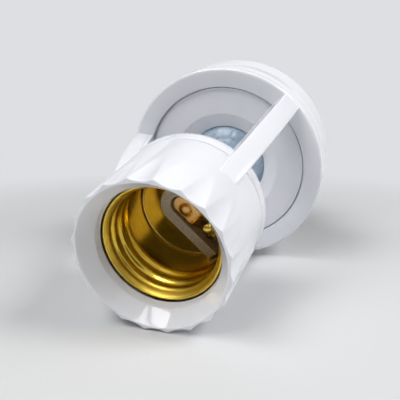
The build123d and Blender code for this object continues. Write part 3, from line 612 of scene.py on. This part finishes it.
def threadRadius(shape, angle, height, top, bottom, plainTop, plainBottom):
    # Round knuckle thread: a cosine between crest and root along the line z - pitch a / 2 pi, which climbs
    # as it turns, eased into plain walls at its two ends
    wave = np.cos(fullTurn * ((height - shape["phase"]) / shape["pitch"] - angle / fullTurn))
    thread = (shape["root"] + shape["crest"]) / 2 + (shape["root"] - shape["crest"]) / 2 * wave
    upper = smoothStep((height - top) / shape["fade"] + 1)
    lower = smoothStep((bottom - height) / shape["fade"] + 1)
    eased = thread * (1 - upper) + plainTop * upper
    return eased * (1 - lower) + plainBottom * lower


def socketShell():
    # One closed outline for each direction: floor edge, floor, corner, band, thread, bead, and back outside.
    # The floor starts at the slot's edge, which is round at one end and runs out straight at the other
    s = socketShape
    angle = roundAngles(s["steps"])
    cosine, sine = np.cos(angle), np.abs(np.sin(angle)) + tiny
    roundEnd = s["slotRound"] * cosine + np.sqrt(s["slotHalf"] ** 2 - (s["slotRound"] * sine) ** 2)
    slot = np.where(roundEnd * cosine >= s["slotRound"], roundEnd, s["slotHalf"] / sine)
    slot = np.minimum(slot, s["slotReach"])
    flat, outerCorner = s["band"] - s["corner"], s["corner"] + s["wall"]
    share = np.linspace(0, 1, s["floorSteps"])
    floorRadius = slot + (np.maximum(flat, slot) - slot) * share
    quarter = np.linspace(0, np.pi / 2, s["cornerSteps"])[1:]
    cornerRadius = np.maximum(flat + s["corner"] * np.sin(quarter), slot)
    cornerHeight = s["floor"] + s["corner"] * (1 - np.cos(quarter))
    beadHeight = s["lip"] - s["bead"]
    wallTop = beadHeight - s["flareShort"]
    wallHeight = np.linspace(s["floor"] + s["corner"], wallTop, s["wallSteps"])[1:]
    flareFrom, flareTo = s["flare"]
    flared = np.clip((wallHeight - flareFrom) / (flareTo - flareFrom), 0, 1) ** s["flarePower"]
    plainTop = s["neck"] + (s["lipRadius"] - s["bead"] - s["neck"]) * flared
    wallRadius = threadRadius(s, angle, wallHeight, s["threadTop"], s["threadBottom"], plainTop, s["band"])
    roll = np.linspace(np.pi, s["beadEnd"], s["beadSteps"])
    beadRadius = np.tile(s["lipRadius"] + s["bead"] * np.cos(roll), (s["steps"], 1))
    backRadius = wallRadius[:, ::-1][:, s["rowsInBead"]:] + s["wall"]
    backCorner = np.maximum(flat + outerCorner * np.sin(quarter[::-1]), slot)
    radius = np.concatenate([
        floorRadius, cornerRadius, wallRadius, beadRadius, backRadius, backCorner, floorRadius[:, ::-1],
    ], 1)
    height = np.concatenate([
        s["floor"] + 0 * share, cornerHeight, wallHeight, beadHeight + s["bead"] * np.sin(roll),
        wallHeight[::-1][s["rowsInBead"]:], s["floor"] + s["corner"] - outerCorner * np.cos(quarter[::-1]),
        s["floor"] - s["wall"] + 0 * share,
    ])
    return wound(radius, height)


makePiece("socketCup", [socketShell()], socketBrass, "socket_brass", "socket_shell")

# Contact leaf: sprung brass strip, cranked up from its screwed foot, with a pressed dimple near its round tip
leafShape = {
    "line": [(-6.1, 66.8), (-5.5, 66.8), (-2.9, 69.35), (2.0, 69.35)], "bends": [0, 0.55, 0.7, 0],
    "thickness": 0.5, "half": 2.3, "tipSweep": 87, "edgeFall": 0.06, "edgePower": 24,
    "screw": -8.0, "hole": 1.6, "footEnd": -10.5, "footJoin": -5.9, "foot": 66.8,
    "dimple": 0.6, "dimpleHeight": 0.6, "dimpleTop": 0.7, "dimpleBase": 2.0,
    "tipSteps": 30, "fineRuns": 3, "fineSteps": 24, "acrossSteps": 41, "footSteps": 96,
}


def leafStrip():
    # Its middle line, then a half round tip x = end + h sin b, half width h cos b, thickened both ways along
    # the line's normal and pressed up by a smooth step that falls from the dimple's top to its base
    s = leafShape
    half, thick = s["half"], s["thickness"] / 2
    endPlace, endHeight = s["line"][-1]
    run = softLine(s["line"], s["bends"], closed=False, arcSteps=10, runSteps=8)
    run = run[np.concatenate([[True], np.linalg.norm(np.diff(run, axis=0), axis=1) > tiny])]
    run = run[:-s["fineRuns"]]
    fine = np.linspace(run[-1, 0], endPlace, s["fineSteps"])[1:]
    bend = np.radians(np.linspace(0, s["tipSweep"], s["tipSteps"]))[1:]
    flat = np.concatenate([fine, endPlace + half * np.sin(bend)])
    path = np.concatenate([run, np.stack([flat, endHeight + 0 * flat], 1)])
    width = np.concatenate([np.full(len(path) - len(bend), half), half * np.cos(bend)])[:, None]
    slope = np.gradient(path, axis=0)
    normal = np.stack([-slope[:, 1], slope[:, 0]], 1) / np.linalg.norm(slope, axis=1, keepdims=True)
    across = np.linspace(-1, 1, s["acrossSteps"])[None, :]
    y = width * across
    away = np.hypot(path[:, :1] - s["dimple"], y)
    press = s["dimpleHeight"] * (1 - smoothStep((away - s["dimpleTop"]) / (s["dimpleBase"] - s["dimpleTop"])))
    skin = thick - s["edgeFall"] * across ** s["edgePower"]

    def sheet(lift):
        x, z = path[:, :1] + normal[:, :1] * lift, path[:, 1:] + normal[:, 1:] * lift + press
        return np.stack([x, y, z], -1)

    return barred(np.concatenate([sheet(skin), sheet(-skin)[:, ::-1]], 1))


def leafFoot():
    # A plate between the round hole and a rectangle, wound about the screw
    s = leafShape
    turn = roundAngles(s["footSteps"])
    cosine, sine = np.cos(turn), np.sin(turn)
    ends = np.where(cosine > 0, s["footJoin"] - s["screw"], s["screw"] - s["footEnd"])
    outer = np.minimum(ends / (np.abs(cosine) + tiny), s["half"] / (np.abs(sine) + tiny))
    inner = np.full_like(outer, s["hole"])
    height = s["foot"] + s["thickness"] / 2 * np.array([1, 1, -1, -1])
    points, faces = wound(np.concatenate([inner, outer, outer, inner], 1), height)
    return points + [s["screw"], 0, 0], faces


makePiece(
    "contactLeaf", [leafStrip(), leafFoot()], contactBrass, "contact_brass", "centre_contact", body="contact",
)

# Screw base: threaded shell, insulating plug and end contact
baseShape = {
    "crest": 12.15, "root": 13.1, "pitch": 3.63, "phase": 0.9, "fade": 1.6, "top": -0.9, "bottom": -16.4,
    "plainTop": 12.75, "plainBottom": 12.8, "length": 17.5, "drawnBy": (0.1, 1.3), "shoulder": (10.9, -19.8),
    "lip": (0.2, 0.05), "wall": 0.35, "liningLift": 0.1, "steps": 220, "wallSteps": 120, "drawnSteps": 14,
}


def baseShell():
    # The same thread on the outside of a thin cup that draws in to its shoulder
    s = baseShape
    angle = roundAngles(s["steps"])
    wallHeight = np.linspace(0, -s["length"], s["wallSteps"])
    wallRadius = threadRadius(s, angle, wallHeight, s["top"], s["bottom"], s["plainTop"], s["plainBottom"])
    wallEnd, shoulder = np.array([s["plainBottom"], -s["length"]]), np.array(s["shoulder"])
    drawn = bowed(wallEnd, wallEnd - s["drawnBy"], shoulder, s["drawnSteps"])[1:]
    lip = [shoulder - s["lip"], shoulder - [s["wall"], 0]]
    line = np.concatenate([drawn, lip, drawn[::-1][1:] - [s["wall"], -s["liningLift"]]])
    radius = np.concatenate([
        wallRadius, np.tile(line[:, 0], (s["steps"], 1)), wallRadius[:, ::-1] - s["wall"],
    ], 1)
    return wound(radius, np.concatenate([wallHeight, line[:, 1], wallHeight[::-1]]))


makePiece("baseCup", [baseShell()], platedShell, "plated_shell", "base_shell")

plugShape = {
    "corners": [
        (0.85, -16.2), (11.0, -16.2), (11.6, -17.6), (10.3, -19.5), (10.25, -20.2), (5.5, -23.6),
        (0.85, -23.6),
    ],
    "cuts": [0, 0.2, 0.3, 0.2, 0.35, 0.4, 0], "steps": 144,
}
plug = turned(softLine(plugShape["corners"], plugShape["cuts"], runSteps=4), plugShape["steps"])
makePiece("basePlug", [plug], blackPlastic, "black_plastic", "base_insulator")

tipShape = {
    "radius": 4.8, "top": -23.6, "bevel": 0.15, "edge": -24.2, "end": -25.6, "crown": 3.9,
    "crownSteps": 24, "steps": 120,
}


def tipShell():
    # A low crown from the axis to the edge, then up the side, over the bevel and back to the axis
    s = tipShape
    crown = bowed((0, s["end"]), (s["crown"], s["end"]), (s["radius"], s["edge"]), s["crownSteps"])
    rest = [(s["radius"], s["top"] - s["bevel"]), (s["radius"] - s["bevel"], s["top"]), (0, s["top"])]
    return turned(np.concatenate([crown, rest]), s["steps"])


makePiece("baseTip", [tipShell()], solderMetal, "solder_metal", "base_tip")

# Camera where the photograph was taken from, in the frame's own axes
cameraShape = {
    "place": (7.18, -59.66, 168.48), "right": (-0.7084, -0.6379, -0.3024), "up": (0.7026, -0.5983, -0.3843),
    "back": (0.0641, -0.4844, 0.8723), "lens": 41.4, "sensor": 36.0, "nearest": 1.0,
}
cameraData = bpy.data.cameras.new("camera")
cameraData.sensor_width, cameraData.lens = cameraShape["sensor"], cameraShape["lens"]
cameraData.clip_start = cameraShape["nearest"] * mm
camera = bpy.data.objects.new("camera", cameraData)
axes = Matrix([cameraShape["right"], cameraShape["up"], cameraShape["back"]]).transposed().to_4x4()
camera.matrix_world = Matrix.Translation(Vector(cameraShape["place"]) * mm) @ axes
bpy.context.scene.collection.objects.link(camera)
bpy.context.scene.camera = camera

# Floor: the holder lies on its fluted mouth and on the bell's side; the sheet sweeps up far behind it
floorShape = {
    "normal": (0.7013, -0.6820, -0.205), "level": -37.0, "under": (0, 0, 60.0),  # level and place in mm
    "width": 2.4, "near": -0.9, "far": 0.35, "sweep": 0.7, "fade": (0.07, 0.24),  # the sheet in metres
    "sweepAngle": 80, "columns": 12, "flatRows": 11, "sweepRows": 40,
    "tint": (0.69, 0.695, 0.70, 1), "rough": 0.9, "specular": 0.1, "glow": (0.73, 0.735, 0.76, 1),
}
floorUp = np.array(floorShape["normal"]) / np.linalg.norm(floorShape["normal"])
floorRight = np.array(cameraShape["right"])
floorRight -= floorUp * (floorRight @ floorUp)
floorRight /= np.linalg.norm(floorRight)
floorAway = np.cross(floorUp, floorRight)
onAxis = np.array(floorShape["under"]) * mm
floorMiddle = floorUp * floorShape["level"] * mm + onAxis - floorUp * (onAxis @ floorUp)


def seenRays(tree):
    # One for rays from the camera, a reflection or a clear surface, nought for those that only light
    rays = addNode(tree, "ShaderNodeLightPath")
    mirrored = addNode(tree, "ShaderNodeMath", operation="MAXIMUM")
    passed = addNode(tree, "ShaderNodeMath", operation="MAXIMUM")
    joinUp(
        tree, (rays.outputs["Is Camera Ray"], mirrored.inputs[0]),
        (rays.outputs["Is Glossy Ray"], mirrored.inputs[1]), (mirrored.outputs[0], passed.inputs[0]),
        (rays.outputs["Is Transmission Ray"], passed.inputs[1]),
    )
    return passed.outputs[0]


def paperFinish():
    # Matt paper about the holder, which keeps the shadow, and an even glow further off for the rays that see
    # it. From behind the sheet is clear
    material = bpy.data.materials.new("palePaper")
    material.use_nodes = True
    tree = material.node_tree
    paper = tree.nodes["Principled BSDF"]
    paper.inputs["Base Color"].default_value = floorShape["tint"]
    paper.inputs["Roughness"].default_value = floorShape["rough"]
    paper.inputs["Specular IOR Level"].default_value = floorShape["specular"]
    glow = addNode(tree, "ShaderNodeEmission", {"Color": floorShape["glow"], "Strength": 1.0})
    place = addNode(tree, "ShaderNodeTexCoord")
    distance = addNode(tree, "ShaderNodeVectorMath", {1: tuple(floorMiddle)}, operation="DISTANCE")
    fade = addRange(tree, floorShape["fade"], smooth=True)
    seenFade = addNode(tree, "ShaderNodeMath", operation="MULTIPLY")
    front = addNode(tree, "ShaderNodeMixShader")
    side = addNode(tree, "ShaderNodeNewGeometry")
    clear = addNode(tree, "ShaderNodeBsdfTransparent")
    sheet = addNode(tree, "ShaderNodeMixShader")
    joinUp(
        tree, (place.outputs["Object"], distance.inputs[0]),
        (distance.outputs["Value"], fade.inputs["Value"]),
        (fade.outputs["Result"], seenFade.inputs[0]), (seenRays(tree), seenFade.inputs[1]),
        (seenFade.outputs[0], front.inputs[0]), (paper.outputs[0], front.inputs[1]),
        (glow.outputs[0], front.inputs[2]), (side.outputs["Backfacing"], sheet.inputs[0]),
        (front.outputs[0], sheet.inputs[1]), (clear.outputs[0], sheet.inputs[2]),
        (sheet.outputs[0], tree.nodes["Material Output"].inputs["Surface"]),
    )
    return material


def floorSheet():
    # Flat strip, then an arc that turns up by the sweep's angle, both as wide as the sheet
    s = floorShape
    bend = np.radians(np.linspace(0, s["sweepAngle"], s["sweepRows"]))
    flat = np.linspace(s["near"], s["far"], s["flatRows"] + 1)[:-1]
    away = np.concatenate([flat, s["far"] + s["sweep"] * np.sin(bend)])[None, :, None]
    up = np.concatenate([0 * flat, s["sweep"] * (1 - np.cos(bend))])[None, :, None]
    across = np.linspace(-s["width"] / 2, s["width"] / 2, s["columns"])[:, None, None]
    points = floorMiddle + across * floorRight + away * floorAway + up * floorUp
    return points.reshape(-1, 3), gridQuads(*points.shape[:2], False, False).tolist()


sheetPoints, sheetFaces = floorSheet()
sheetMesh = bpy.data.meshes.new("floorSheet")
sheetMesh.from_pydata(sheetPoints.tolist(), [], sheetFaces)
sheetMesh.polygons.foreach_set("use_smooth", np.ones(len(sheetFaces), bool))
if sheetMesh.polygons[0].normal.dot(Vector(floorUp)) < 0:
    sheetMesh.flip_normals()
sheetMesh.materials.append(paperFinish())
floorObject = bpy.data.objects.new("floorSheet", sheetMesh)
bpy.context.scene.collection.objects.link(floorObject)

# Light: a dim room, whose ceiling looks pale, and four soft boxes
lightShape = {
    "room": (0.94, 0.965, 1.0, 1), "roomLight": 0.07, "ceilingSeen": 0.74, "ceiling": (0.5, 0.8),
    "aim": (0, 0, 65.0),  # in mm; the boxes' places from there and their sizes are in metres
    "boxes": {
        "leftBox": {"right": -0.23, "up": 0.43, "away": -0.10, "size": (0.22, 0.19), "power": 1.0},
        "rightBox": {"right": 0.36, "up": 0.45, "away": -0.12, "size": (0.17, 0.17), "power": 1.38},
        "sideBox": {"right": 0.54, "up": 0.22, "away": -0.06, "size": (0.34, 0.34), "power": 1.0},
        "frontBox": {"right": -0.20, "up": 0.42, "away": -0.32, "size": (0.30, 0.18), "power": 1.13},
    },
}


def lightRoom():
    # Even dim light from all round; rays that see the room find its ceiling pale, by how far they rise
    room = bpy.data.worlds.new("room")
    room.use_nodes = True
    tree = room.node_tree
    sky = tree.nodes["Background"]
    sky.inputs["Color"].default_value = lightShape["room"]
    direction = addNode(tree, "ShaderNodeTexCoord")
    rise = addNode(tree, "ShaderNodeVectorMath", {1: tuple(floorUp)}, operation="DOT_PRODUCT")
    ceiling = addRange(tree, lightShape["ceiling"], smooth=True)
    seenCeiling = addNode(tree, "ShaderNodeMath", operation="MULTIPLY")
    level = addRange(tree, (0, 1), (lightShape["roomLight"], lightShape["ceilingSeen"]))
    joinUp(
        tree, (direction.outputs["Generated"], rise.inputs[0]),
        (rise.outputs["Value"], ceiling.inputs["Value"]),
        (ceiling.outputs["Result"], seenCeiling.inputs[0]), (seenRays(tree), seenCeiling.inputs[1]),
        (seenCeiling.outputs[0], level.inputs["Value"]), (level.outputs["Result"], sky.inputs["Strength"]),
    )
    bpy.context.scene.world = room


def hangBox(name, box):
    # Area lamp that faces the aim from its place to the right, up and away along the floor's own axes
    lamp = bpy.data.lights.new(name, "AREA")
    lamp.shape, lamp.energy = "RECTANGLE", box["power"]
    lamp.size, lamp.size_y = box["size"]
    offset = floorRight * box["right"] + floorUp * box["up"] + floorAway * box["away"]
    back = offset / np.linalg.norm(offset)
    across = np.cross(floorAway, back)
    across /= np.linalg.norm(across)
    turn = Matrix(np.stack([across, np.cross(back, across), back], 1).tolist()).to_4x4()
    lampObject = bpy.data.objects.new(name, lamp)
    lampObject.matrix_world = Matrix.Translation(Vector(np.array(lightShape["aim"]) * mm + offset)) @ turn
    bpy.context.scene.collection.objects.link(lampObject)


lightRoom()
for boxName, box in lightShape["boxes"].items():
    hangBox(boxName, box)
bpy.context.scene.view_settings.view_transform = "Standard"
print("camera, floor and light set")
